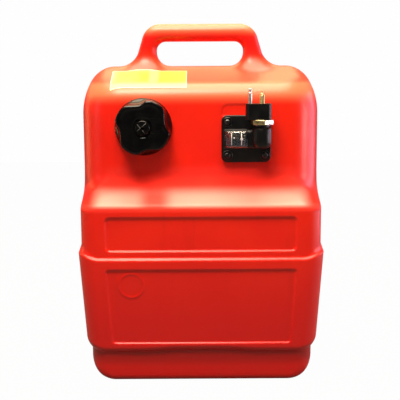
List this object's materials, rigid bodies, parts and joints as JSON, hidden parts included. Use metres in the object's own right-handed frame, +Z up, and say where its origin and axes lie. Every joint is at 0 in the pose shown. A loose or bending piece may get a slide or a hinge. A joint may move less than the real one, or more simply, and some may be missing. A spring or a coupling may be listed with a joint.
{
  "type": "outboard fuel tank",
  "caption": "Portable upright outboard fuel tank with a moulded carrying handle, vented screw cap, level gauge and quick hose connector.",
  "frame": {"origin": "centre of the bounding box on the surface that the tank stands on", "axes": "+X to the right seen from the front, +Y to the back, +Z up"},
  "size_m": [0.347, 0.255, 0.488],
  "materials": {
    "tank_plastic": "blow-moulded polyethylene, satin with a fine grain",
    "label": "printed vinyl, satin",
    "black_plastic": "moulded nylon, semi-gloss",
    "white_plastic": "moulded acetal",
    "float_foam": "closed-cell foam",
    "rubber": "nitrile rubber",
    "lens": "clear moulded plastic, glossy",
    "brass": "turned brass",
    "steel": "turned stainless steel"
  },
  "bodies": {
    "tank": {"tank_shell": "tank_plastic", "top_label": "label", "meter_body": "black_plastic", "meter_gasket": "rubber", "flange_screw_1": "steel", "flange_screw_2": "steel", "flange_screw_3": "steel", "flange_screw_4": "steel", "gauge_lens": "lens", "lens_seal": "rubber", "drum_shaft": "steel", "gauge_frame": "white_plastic", "arm_pivot_pin": "steel", "pickup_pipe": "white_plastic", "pickup_strainer": "white_plastic", "outlet_nipple": "brass", "outlet_seal": "rubber", "joint_nut": "brass", "connector_block": "black_plastic", "fuel_pin": "brass", "guide_pin": "steel", "valve_spring": "steel"},
    "gasket": {"cap_gasket": "rubber"},
    "cap": {"filler_cap": "black_plastic"},
    "vent_ring": {"vent_seal": "rubber"},
    "vent": {"vent_screw": "black_plastic"},
    "float": {"float_gear": "white_plastic", "float_arm": "steel", "float_block": "float_foam", "float_retainer_upper": "steel", "float_retainer_lower": "steel"},
    "drum": {"level_drum": "white_plastic"},
    "valve": {"valve_poppet": "brass", "valve_seal": "rubber"}
  },
  "joints": [
    {"name": "cap_rise", "type": "slide", "parent": "tank", "child": "gasket", "axis": [0, -1, 0], "range_m": [0, 0.0301]},
    {"name": "cap_turn", "type": "hinge", "parent": "gasket", "child": "cap", "pos_m": [-0.077, -0.095, 0.348], "axis": [0, -1, 0], "range_deg": [0, 900]},
    {"name": "vent_rise", "type": "slide", "parent": "cap", "child": "vent_ring", "axis": [0, -1, 0], "range_m": [0, 0.003]},
    {"name": "vent_turn", "type": "hinge", "parent": "vent_ring", "child": "vent", "pos_m": [-0.077, -0.11, 0.348], "axis": [0, -1, 0], "range_deg": [0, 720.2]},
    {"name": "float_swing", "type": "hinge", "parent": "tank", "child": "float", "pos_m": [0.062, -0.0616, 0.331], "axis": [1, 0, 0], "range_deg": [0, 70]},
    {"name": "drum_turn", "type": "hinge", "parent": "tank", "child": "drum", "pos_m": [0.048, -0.0876, 0.331], "axis": [1, 0, 0], "range_deg": [-158, 0]},
    {"name": "valve_press", "type": "slide", "parent": "tank", "child": "valve", "axis": [0, 0, -1], "range_m": [0, 0.003], "stiffness_N_per_m": 400, "springref_m": -0.003, "deforming": ["valve_spring"]}
  ],
  "couplings": [
    {"joint": "cap_rise", "follows": "cap_turn", "m_per_rad": 0.0019099},
    {"joint": "vent_turn", "follows": "vent_rise", "rad_per_m": 4188.8},
    {"joint": "drum_turn", "follows": "float_swing", "ratio": -2.25}
  ]
}
